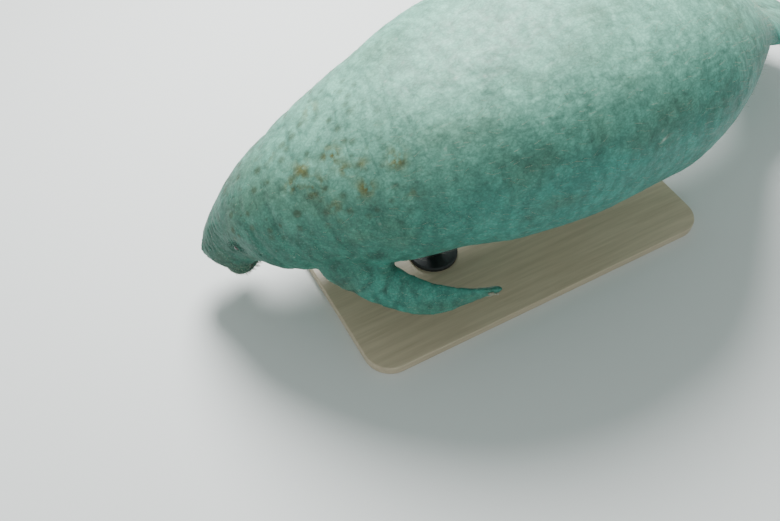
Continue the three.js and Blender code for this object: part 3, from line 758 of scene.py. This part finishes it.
def lump_offset(straight):
    """The low swells of a heavy body, a faint furrow down the back, and fine pebbles."""
    x, y, z = straight.T
    body = between(x, 300, 700, 2500, 2900)
    broad = 5.0 * noise(straight, 330, 51) + 2.4 * noise(straight, 130, 52)
    furrow = -3.0 * bell(y, 60) * between(x, 700, 1100, 1900, 2300) * (z > 0)
    pebbles = 0.45 * noise(straight, 17, 55) + 0.3 * noise(straight, 11, 56)
    return body * broad + furrow + pebbles


def fluke_offset(straight):
    """Low ridges that fan out over the fluke, and its slightly ragged rim."""
    x, y, _ = straight.T
    fan = np.arctan2(y, x - 2150) * 34
    rim = rising(2520, 2720, x)
    return rim * (1.7 * np.sin(fan + 2.2 * noise(straight, 160, 61)) + 1.2 * noise(straight, 40, 62))


def belly_offset(straight):
    """The navel and the vent, on the midline below."""
    x, y, z = straight.T
    offset = np.zeros(len(x))
    for at, depth, long, wide, swell, radius, soft, drawn in BELLY_MARKS:
        offset -= depth * bell(x - at, long) * bell(y, wide)
        offset += swell * bell(np.hypot((x - at) / drawn, y) - radius, soft)
    return (z < 0) * offset


def resting_share(places):
    """How far each point is from the saddles that carry the body: 0 on one, 1 well away."""
    unders = [posed(body_point(float(at), -math.pi / 2)) for at in SADDLES_AT]
    return np.min([rising(0.11, 0.19, norm(places - under)) for under in unders], 0)


# How often the whole skin, its seams and the split faces are relaxed
SKIN_ROUNDS, SEAM_ROUNDS, FACE_ROUNDS = 9, 46, 3


def smooth_skin():
    """The remeshed skin and its points' places, with its seams smoothed and the head's faces made fine."""
    obj = raw_skin()
    places = vertex_places(obj)
    x = straightened(places)[:, 0]
    limbs = limb_reaches(places)
    face = fading(230, 330, x) * 0.9
    root = sum(bell(along - 165, 78) * fading(160, 250, away) for along, away in limbs)
    rim = rising(2380, 2560, x)
    whole, seams = np.clip(0.25 + face + root + rim, 0, 1), np.clip(root + 0.8 * rim, 0, 1)
    relax(obj, (whole, SKIN_ROUNDS), (seams, SEAM_ROUNDS))
    for chosen in (lambda straight: straight[:, 0] < 345, near_features):
        centres = read(obj.data.polygons, "center", 3)
        split_faces(obj, chosen(straightened(centres)))
    face = (straightened(vertex_places(obj))[:, 0] < 360) * 0.8
    return obj, relax(obj, (face, FACE_ROUNDS))


CARVINGS = (
    eye_offset, nostril_offset, ear_offset, mouth_offset,
    muzzle_offset, chin_offset, fluke_offset, belly_offset,
)


def build_skin(material):
    obj, places = smooth_skin()
    straight = straightened(places)
    limbs = limb_reaches(places)
    calm = 1 - 0.6 * near_features(straight)
    folds = sum(carve(straight) for carve in CARVINGS) + calm * crease_offset(straight, limbs)
    rest = resting_share(places)
    offset = (folds + calm * lump_offset(straight)) * rest + SADDLE_SINK * (1 - rest)
    set_places(obj, places + read(obj.data.vertices, "normal", 3) * (offset * MM)[:, None])
    on_limb = np.max([rising(150, 240, along) * fading(110, 170, away) for along, away in limbs], 0)
    lying = obj.data.attributes.new("lying", "FLOAT_VECTOR", "POINT")
    lying.data.foreach_set("vector", (straight * MM).ravel())
    paint_skin(obj, straight, on_limb, folds)
    obj.data.materials.clear()
    obj.data.materials.append(material)
    shade_smooth(obj.data)
    return obj, straight


# Colours, as sRGB bytes turned linear
def linear(*rgb):
    c = np.array(rgb, float) / 255
    return np.where(c <= 0.04045, c / 12.92, ((c + 0.055) / 1.055) ** 2.4)


def opaque(*rgb):
    return (*linear(*rgb), 1)


# The top of the body is painted paler: painted light from above.
PAINTED_SUNLIT_BACK = linear(128, 192, 169)
FLANK = linear(63, 133, 115)
REAR_FLANK = linear(75, 156, 142)
BELLY = linear(84, 139, 123)
# The head is painted darker: painted shade, as if it lay in shadow.
PAINTED_HEAD_SHADE = linear(40, 93, 78)
LIMB = linear(66, 152, 135)
FILM = linear(92, 112, 84)
ALGAE = linear(116, 114, 62)
SCAR = linear(184, 204, 188)
SPOT = linear(72, 80, 50)
# A dark colour laid into the carved creases, grooves and pits: painted shade.
CREASE_SHADE = linear(30, 62, 52)

# Rusty algae on the left shoulder: (distance from the snout, angle in degrees, reach, strength)
ALGAE_PATCHES = [
    (520, 124, 22, 0.7), (556, 118, 24, 0.9), (580, 131, 26, 0.9), (606, 146, 20, 0.6),
    (636, 118, 24, 1.0), (658, 128, 18, 0.8), (687, 141, 22, 1.0), (700, 128, 14, 0.7),
    (772, 132, 22, 1.0), (784, 149, 16, 0.5), (470, 96, 24, 0.6), (612, 84, 26, 0.6),
]
# Small dark spots over the top of the head, the neck and the shoulders: where they begin, are full,
# thin out and end, and how far apart they are; pale specks lie further apart everywhere else
SPOT_REACH = (190, 260, 640, 900)
SPOT_SPACING = 31
SPECK_SPACING = 40
# Mottling of the whole skin: (depth, size, layers, seed)
MOTTLING = [(0.16, 70, 3, 81), (0.15, 16, 2, 85)]
# A healed scrape on the left flank
SCAR_AT = (1370, 163.5)
# How many millimetres a degree round the body is, at the shoulder and at the flank
MM_A_DEGREE = (4.2, 7.2)


def painted(colour, *layers):
    """A colour under layers of paint: (shade, how much of it)."""
    for shade, share in layers:
        colour = colour + (shade - colour) * np.clip(share, 0, 1)[:, None]
    return colour


def body_height(straight):
    """Height on the body: 1 at its top line, -1 at its bottom line."""
    x, _, z = straight.T
    middle, tall = middle_and_half(top_at(x), bottom_at(x))
    return (z - middle) / np.maximum(tall, 1)


def round_angle(straight):
    """The angle round the body, in degrees: 0 at the right side, 90 on top, 180 at the left side."""
    x, y, _ = straight.T
    return np.degrees(np.arctan2(body_height(straight), y / np.maximum(half_width_at(x), 1))) % 360


def dotted(points, spacing, seed):
    """Scattered round dots: distance to the nearest in a jittered grid, as a share of its spacing."""
    p = points / spacing
    base = np.floor(p)
    best = np.full(len(points), 9.0)
    for step in np.ndindex(3, 3, 3):
        cell = base + np.array(step) - 1
        centre = cell + np.stack([hashed(cell, seed + k) for k in range(3)], -1)
        best = np.minimum(best, norm(p - centre) / (0.15 + 1.2 * hashed(cell, seed + 3)))
    return best


def paint_skin(obj, straight, on_limb, folds):
    x = straight[:, 0]
    height = np.clip(body_height(straight), -1, 1)
    angle = round_angle(straight)
    wave = layered(straight, 260, 3, 71)
    # Painted light: the paint grows paler towards the top of the body.
    back = rising(0.18, 0.95, height + 0.12 * wave)
    film = rising(0.0, 0.5, layered(straight * np.array([0.7, 1, 1]), 120, 4, 75))
    colour = painted(
        np.tile(FLANK, (len(x), 1)),
        (REAR_FLANK, rising(600, 1200, x)),
        (PAINTED_SUNLIT_BACK, back * (0.45 + 0.55 * rising(240, 760, x))),
        (BELLY, rising(-0.35, -0.95, height + 0.15 * wave) * 0.7),
        # Painted shade over the head, fading out by the shoulders.
        (PAINTED_HEAD_SHADE, fading(60, 500, x) * 0.75),
        (LIMB, on_limb * 0.85),
        (FILM, film * 0.3),
    )
    for depth, size, layers, seed in MOTTLING:
        colour = colour * (1 + depth * layered(straight, size, layers, seed))[:, None]
    upper = rising(0.2, 0.62, height + 0.2 * wave) * between(x, *SPOT_REACH)
    spots = fading(0.16, 0.46, dotted(straight, SPOT_SPACING, 95))
    specks = fading(0.05, 0.12, dotted(straight, SPECK_SPACING, 105))
    ragged = rising(-0.2, 0.2, layered(straight, 17, 3, 91))
    algae = [
        (ALGAE, bell(np.hypot(x - at, (angle - turn) * MM_A_DEGREE[0]), size) * ragged * strength)
        for at, turn, size, strength in ALGAE_PATCHES
    ]
    along, across = x - SCAR_AT[0], (angle - SCAR_AT[1]) * MM_A_DEGREE[1]
    colour = painted(
        colour,
        # Painted shade in the carved hollows, darker where they are deeper.
        (CREASE_SHADE, np.clip(-folds / 4.5, 0, 0.75)),
        (SPOT, spots * upper * 0.6),
        (SCAR, specks * 0.35 * (1 - upper)),
        *algae,
        (SCAR, bell(along, 11) * bell(across + along * 0.4, 5) * 0.9),
    )
    set_colours(obj, "paint", colour)


# Materials
class Nodes:
    """A material's node tree, built by short calls."""

    def __init__(self, name):
        self.material = bpy.data.materials.new(name)
        self.material.use_nodes = True
        self.tree = self.material.node_tree
        self.shader = self.tree.nodes["Principled BSDF"]

    def add(self, kind, settings=None, **inputs):
        node = self.tree.nodes.new(kind)
        for key, value in (settings or {}).items():
            setattr(node, key, value)
        return self.fill(node, inputs)

    def fill(self, node, inputs):
        for key, value in inputs.items():
            self.put(node.inputs[key.replace("_", " ")], value)
        return node

    def put(self, socket, value):
        if isinstance(value, bpy.types.NodeSocket):
            self.tree.links.new(value, socket)
        else:
            socket.default_value = value

    def place(self):
        return self.add("ShaderNodeTexCoord").outputs["Object"]

    def stretched(self, vector, scale):
        return self.add("ShaderNodeMapping", Vector=vector, Scale=scale).outputs["Vector"]

    def noise(self, scale, detail, rough, vector):
        node = self.add("ShaderNodeTexNoise", Scale=scale, Detail=detail, Roughness=rough, Vector=vector)
        return node.outputs["Fac"]

    def ridges(self, scale, detail, lacunarity, vector):
        """Branching ridges, near 1 along their crests."""
        form = {"Scale": scale, "Detail": detail, "Roughness": 0.62, "Lacunarity": lacunarity}
        settings = {"noise_type": "RIDGED_MULTIFRACTAL"}
        node = self.add("ShaderNodeTexNoise", settings, **form, Offset=0.86, Gain=1.6, Vector=vector)
        return node.outputs["Fac"]

    def ramp(self, value, *stops):
        node = self.add("ShaderNodeValToRGB", Fac=value)
        ramp = node.color_ramp
        while len(ramp.elements) < len(stops):
            ramp.elements.new(0.5)
        for element, (at, shade) in zip(ramp.elements, stops):
            element.position = at
            element.color = shade if isinstance(shade, tuple) else (shade, shade, shade, 1)
        return node.outputs["Color"]

    def mix(self, share, first, second, how="MIX"):
        node = self.add("ShaderNodeMix", {"data_type": "RGBA", "blend_type": how})
        for index, value in ((0, share), (6, first), (7, second)):
            self.put(node.inputs[index], value)
        return node.outputs[2]

    def bump(self, height, strength, distance, under=None):
        node = self.add("ShaderNodeBump", Strength=strength, Distance=distance, Height=height)
        if under is not None:
            self.put(node.inputs["Normal"], under)
        return node.outputs["Normal"]

    def finish(self, **inputs):
        self.fill(self.shader, inputs)
        return self.material


def skin_material():
    n = Nodes("manatee_skin")
    place = n.add("ShaderNodeAttribute", {"attribute_name": "lying"}).outputs["Vector"]
    drawn = n.stretched(place, (1.0, 0.45, 0.45))
    paint = n.add("ShaderNodeVertexColor", {"layer_name": "paint"}).outputs["Color"]
    grain = n.ramp(n.noise(210, 4, 0.7, place), (0.36, 0.70), (0.62, 1.0))
    colour = n.mix(0.7, paint, grain, "MULTIPLY")
    pale = n.ramp(n.noise(150, 3, 0.6, place), (0.52, 0.0), (0.74, 0.2))
    colour = n.mix(pale, colour, opaque(150, 196, 182))
    dark = n.ramp(n.noise(38, 4, 0.7, place), (0.32, 0.28), (0.42, 0.0))
    colour = n.mix(dark, colour, opaque(48, 66, 58))
    crease = n.ridges(26, 5, 2.1, drawn)
    fine = n.ridges(95, 4, 2.0, place)
    # Painted shade: the creases and fine lines are darkened in the colour as well as bumped.
    colour = n.mix(0.50, colour, n.ramp(crease, (0.35, 1.0), (0.95, 0.60)), "MULTIPLY")
    colour = n.mix(0.45, colour, n.ramp(fine, (0.35, 1.0), (0.95, 0.58)), "MULTIPLY")
    normal = n.bump(crease, -0.85, 0.0034)
    normal = n.bump(fine, -0.70, 0.0016, normal)
    normal = n.bump(n.noise(420, 3, 0.6, place), 0.35, 0.0006, normal)
    rough = n.ramp(n.noise(30, 4, 0.6, place), (0.3, 0.46), (0.7, 0.68))
    return n.finish(Base_Color=colour, Roughness=rough, Normal=normal, Specular_IOR_Level=0.3)


def eye_material():
    n = Nodes("eye_dark")
    iris = n.add("ShaderNodeVertexColor", {"layer_name": "iris"}).outputs["Color"]
    grain = n.ramp(n.noise(900, 3, 0.6, n.place()), (0.3, 0.55), (0.7, 1.0))
    colour = n.mix(0.5, iris, grain, "MULTIPLY")
    return n.finish(Base_Color=colour, Roughness=0.07, Coat_Weight=0.5, Coat_Roughness=0.03)


def nail_material():
    n = Nodes("nail_horn")
    streak = n.noise(220, 5, 0.6, n.place())
    colour = n.ramp(streak, (0.35, opaque(112, 112, 96)), (0.68, opaque(168, 166, 146)))
    return n.finish(Base_Color=colour, Roughness=0.38, Normal=n.bump(streak, 0.3, 0.0006))


def bristle_material():
    n = Nodes("bristle")
    dark, light = opaque(122, 128, 106), opaque(186, 188, 164)
    colour = n.ramp(n.noise(60, 3, 0.6, n.place()), (0.3, dark), (0.7, light))
    return n.finish(Base_Color=colour, Roughness=0.45)


def steel_material():
    n = Nodes("stand_steel")
    place = n.place()
    grain = n.noise(900, 3, 0.5, place)
    colour = n.ramp(n.noise(9, 4, 0.6, place), (0.3, (0.030, 0.034, 0.036, 1)), (0.7, (0.044, 0.048, 0.050, 1)))
    return n.finish(Base_Color=colour, Roughness=0.42, Metallic=0.55, Normal=n.bump(grain, 0.15, 0.0004))


def board_material():
    n = Nodes("base_board")
    grain = n.noise(3.0, 8, 0.62, n.stretched(n.place(), (1.2, 22, 22)))
    colour = n.ramp(grain, (0.30, opaque(184, 168, 142)), (0.70, opaque(206, 190, 164)))
    return n.finish(Base_Color=colour, Roughness=0.36, Normal=n.bump(grain, 0.12, 0.0006))


# Eyes and nails
PUPIL = linear(8, 6, 5)
# The iris, its rim and the white, and how many degrees from the eye's axis each begins
IRIS_RINGS = [(linear(44, 30, 20), 22), (linear(24, 17, 13), 48), (linear(84, 70, 60), 56)]
CORNEA_BULGE = 0.07
CORNEA_REACH = 34


def dress(obj, *nodes, slot):
    """Hangs a piece on the body in place of the solids' nodes. Its slot is not used."""
    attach(obj, "root")
    if nodes:
        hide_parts(*nodes)


def build_eye(side, material):
    name = "left" if side < 0 else "right"
    here, _, _, out = EYES[side]
    centre = here - out * EYE_SUNK
    vertices, faces = ellipsoid_shell(centre, (EYE_RADIUS,) * 3, columns=64, rows=48)
    centre = posed(centre)
    axis = unit(posed(here + out * 20) - posed(here - out * 20))
    away = np.degrees(np.arccos(np.clip(unit(vertices - centre) @ axis, -1, 1)))
    vertices = centre + (vertices - centre) * (1 + CORNEA_BULGE * bell(away, CORNEA_REACH))[:, None]
    obj = mesh_object(f"eyeball_{name}", vertices, faces, material)
    rings = [(shade, rising(at - 2, at + 2, away)) for shade, at in IRIS_RINGS]
    set_colours(obj, "iris", painted(np.tile(PUPIL, (len(vertices), 1)), *rings))
    dress(obj, f"eye_{name}", slot="eye")


def build_nail(name, limb, index, material):
    along, across = NAILS[index]
    _, lead, face = limb.at(float(along))
    way = unit(np.cross(lead, face)) * limb.side
    spot = limb.skin(float(along), math.acos(across))
    beside = np.cross(face, way)
    length, width, height = NAIL_RADII

    def place(points):
        x, y, z = (np.asarray(points, float)[..., k : k + 1] for k in range(3))
        narrow = 1 - 0.16 * x / length
        crown = 1 + 0.25 * x / length - 0.2 * (x / length) ** 2
        return (spot + way * x + beside * y * narrow + face * z * crown) * MM

    vertices, faces = ellipsoid_shell((0, 0, 0), (length, width, height), place, 40, 28)
    obj = mesh_object(f"claw_{name}_{index + 1}", vertices, faces, material)
    dress(obj, f"nail_{name}_{index + 1}", slot="nail_horn")


# Bristles of the face and thin hairs of the body
# How many at most, how far apart in millimetres, the seed, the way they lean and how much that varies
BRISTLES = (1300, 4.6, 3, (30, 0, -26), 0.35)
HAIRS = (3600, 26, 4, (20, 0, 0), 0.3)
HAIR_RADIUS = 0.27
# Side of each hair's patch on the unwrap
BAKE_PATCH = 0.003


def scatter(obj, straight, density, count, spacing, seed, step, spread):
    """Roots on the skin, by density and a spacing apart, that lean along a step of the straight body.
    Returns their places, normals, straight places and leans, and the random draw."""
    corners = read(obj.data.loops, "vertex_index", kind=np.int64)
    starts = read(obj.data.polygons, "loop_start", kind=np.int64)
    areas = read(obj.data.polygons, "area")
    first = corners[starts]
    middle = (straight[first] + straight[corners[starts + 2]]) / 2
    share = areas * density(middle)
    draw = np.random.default_rng(seed)
    picks = draw.choice(len(share), size=count * 2, p=share / share.sum())
    places, normals = vertex_places(obj), read(obj.data.vertices, "normal", 3)
    other, third = corners[starts[picks] + 1], corners[starts[picks] + 2]
    u, v = draw.random((2, len(picks), 1))
    base = first[picks]

    def mixed(values):
        return values[base] + (values[other] - values[base]) * u + (values[third] - values[other]) * u * v

    roots, ways, lying = mixed(places), unit(mixed(normals)), mixed(straight)
    cells = np.floor(roots / (spacing * MM)).astype(np.int64)
    kept = np.sort(np.unique(cells, axis=0, return_index=True)[1])[:count]
    lying = lying[kept]
    leans = unit(posed(lying + np.array(step, float)) - posed(lying))
    leans = unit(leans + spread * draw.normal(size=lying.shape))
    return roots[kept], ways[kept], lying, leans, draw


def sprout(name, roots, ways, leans, lengths, radii, unwrap, material, rings=4):
    """Tapered three-sided hairs that bend over their lean, each a small patch on the unwrap."""
    count, size = len(roots), rings * 3 + 1
    across = unit(np.cross(ways, leans) + 1e-6)
    beside = unit(np.cross(ways, across))
    vertices = np.empty((count, size, 3))
    local = np.empty((size, 2))

    def along(t):
        return roots + (ways * (t - 0.5 * t * t - 0.06) + leans * (0.3 * t + 0.6 * t * t)) * lengths[:, None]

    for i in range(rings):
        t = i / rings
        for k in range(3):
            turn = 2 * math.pi * k / 3
            spoke = across * math.cos(turn) + beside * math.sin(turn)
            vertices[:, i * 3 + k] = along(t) + spoke * (radii * (1 - 0.75 * t))[:, None]
            local[i * 3 + k] = (t, k / 2)
    vertices[:, -1] = along(1)
    local[-1] = (1, 0.5)
    faces = []
    for i in range(rings - 1):
        for k in range(3):
            m = (k + 1) % 3
            faces.append((i * 3 + k, i * 3 + m, i * 3 + 3 + m, i * 3 + 3 + k))
    low = (rings - 1) * 3
    faces += [(low + k, low + (k + 1) % 3, rings * 3) for k in range(3)]
    every = [tuple(index + i * size for index in face) for i in range(count) for face in faces]
    obj = mesh_object(name, vertices.reshape(-1, 3), every, material)
    chart = (unwrap[:, None] + (local[None] - 0.5) * BAKE_PATCH).reshape(-1, 2)
    corners = read(obj.data.loops, "vertex_index", kind=np.int64)
    obj.data.uv_layers.new(name="OFBake").data.foreach_set("uv", chart[corners].ravel())
    dress(obj, slot="skin")


def face_density(straight):
    """Bristles stand closest on the lips, and thinly over the rest of the muzzle and the chin."""
    x, y, z = straight.T
    disc = fading(58, 96, x) * rising(16, -16, z)
    lips = bell(np.hypot(np.abs(y) - 52, z + 112), 42) * fading(100, 150, x) * 2.4
    chin = rising(-120, -150, z) * bell(x - 128, 34) * 1.3
    muzzle = fading(120, 200, x) * 0.12
    return disc + lips + chin + muzzle


def build_bristles(skin, straight, material):
    roots, ways, lying, leans, draw = scatter(skin, straight, face_density, *BRISTLES)
    x, y, z = lying.T
    stout = bell(np.hypot(np.abs(y) - 52, z + 116), 30) * fading(100, 140, x)
    lengths = (9 + 7 * stout + 5 * draw.random(len(x))) * MM
    radii = (0.42 + 0.5 * stout) * MM
    round_face = np.arctan2(z + 36, y)
    reach = np.hypot(np.hypot(y, z + 36), x) / 260
    unwrap = 0.5 + 0.46 * np.stack([np.cos(round_face), np.sin(round_face)], -1) * np.clip(reach, 0, 1)[:, None]
    sprout("bristles_face", roots, ways, leans, lengths, radii, unwrap, material)


def build_hairs(skin, straight, material):
    def density(spots):
        bare = np.min([norm(spots - EYES[side][0]) for side in (-1, 1)], 0)
        x = spots[:, 0]
        return rising(180, 320, x) * (1 - 0.5 * rising(2300, 2600, x)) * rising(44, 60, bare)

    roots, ways, lying, leans, draw = scatter(skin, straight, density, *HAIRS)
    grown = rising(260, 700, lying[:, 0])
    lengths = (8 + 8 * grown + (6 + 6 * grown) * draw.random(len(roots))) * MM
    radii = np.full(len(roots), HAIR_RADIUS * MM)
    ways = unit(0.5 * ways + 0.5 * leans)
    unwrap = np.stack([0.02 + 0.96 * lying[:, 0] / LENGTH, 0.02 + 0.96 * round_angle(lying) / 360], -1)
    sprout("hairs_body", roots, ways, leans, lengths, radii, unwrap, material)


# The camera at the photograph's angle
CAMERA_AZIMUTH = -0.539
CAMERA_ELEVATION = 0.917
CAMERA_ROLL = 0.038
CAMERA_DISTANCE = 2.818
SENSOR_WIDTH = 36
CAMERA_LENS = 1.038 * SENSOR_WIDTH
AIM_AT_SPINE = 1000
AIM_OFFSET = (-0.224, 0.0, -0.565)


def add_camera():
    az, el = CAMERA_AZIMUTH, CAMERA_ELEVATION
    back = Vector((math.sin(az) * math.cos(el), -math.cos(az) * math.cos(el), math.sin(el)))
    level = Vector((0, 0, 1)).cross(back).normalized()
    right = level * math.cos(CAMERA_ROLL) + back.cross(level) * math.sin(CAMERA_ROLL)
    aim = Vector(spine_point(float(AIM_AT_SPINE)) * MM) + Vector(AIM_OFFSET)
    data = bpy.data.cameras.new("camera")
    data.sensor_fit = "HORIZONTAL"
    data.sensor_width = SENSOR_WIDTH
    data.lens = CAMERA_LENS
    camera = placed("camera", data)
    basis = Matrix((right, back.cross(right), back)).transposed().to_4x4()
    camera.matrix_world = Matrix.Translation(aim + back * CAMERA_DISTANCE) @ basis
    bpy.context.scene.camera = camera


# name: (place, what it points at, size, power)
LAMPS = {
    "overhead": ((0.4, 2.2, 3.8), (0.1, 0.0, 0.6), 2.2, 500),
    "fill": ((-3.2, -3.0, 2.4), (-0.3, 0, 0.5), 3.0, 24),
}
SKY_COLOUR = (0.80, 0.90, 0.88, 1)
SKY_STRENGTH = 0.6
FLOOR_REACH = 30


def add_area(name, place, aim, size, power):
    data = bpy.data.lights.new(name, "AREA")
    data.shape = "DISK"
    data.size = size
    data.energy = power
    lamp = placed(name, data)
    lamp.location = place
    lamp.rotation_euler = (Vector(aim) - Vector(place)).to_track_quat("-Z", "Y").to_euler()


def add_studio():
    world = bpy.data.worlds.new("studio")
    world.use_nodes = True
    sky = world.node_tree.nodes["Background"].inputs
    sky["Color"].default_value = SKY_COLOUR
    sky["Strength"].default_value = SKY_STRENGTH
    bpy.context.scene.world = world
    for name, settings in LAMPS.items():
        add_area(name, *settings)
    corners = [(FLOOR_REACH * a, FLOOR_REACH * b, 0) for a, b in ((-1, -1), (1, -1), (1, 1), (-1, 1))]
    pale = Nodes("floor").finish(Base_Color=(0.74, 0.76, 0.75, 1), Roughness=0.75)
    mesh_object("floor", corners, [(0, 1, 2, 3)], pale)


FLESH = [
    "head", "lower_jaw", "neck", "chest", "belly", "loin", "tail_stock", "tail_fluke",
    "flipper_left_arm", "flipper_left_hand", "flipper_right_arm", "flipper_right_hand",
]


def dress_stand():
    steel, board = steel_material(), board_material()
    for name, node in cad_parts.items():
        if name.startswith("stand_"):
            node.data.materials.clear()
            node.data.materials.append(board if name == "stand_base" else steel)


add_camera()
add_studio()
dress_stand()
skin, skin_straight = build_skin(skin_material())
dress(skin, *FLESH, slot="skin")
hair_finish = bristle_material()
build_bristles(skin, skin_straight, hair_finish)
build_hairs(skin, skin_straight, hair_finish)
eye_finish, nail_finish = eye_material(), nail_material()
for eye_side in (-1, 1):
    build_eye(eye_side, eye_finish)
for limb_name, limb_path in LIMBS.items():
    for nail_index in range(len(NAILS)):
        build_nail(limb_name, limb_path, nail_index, nail_finish)
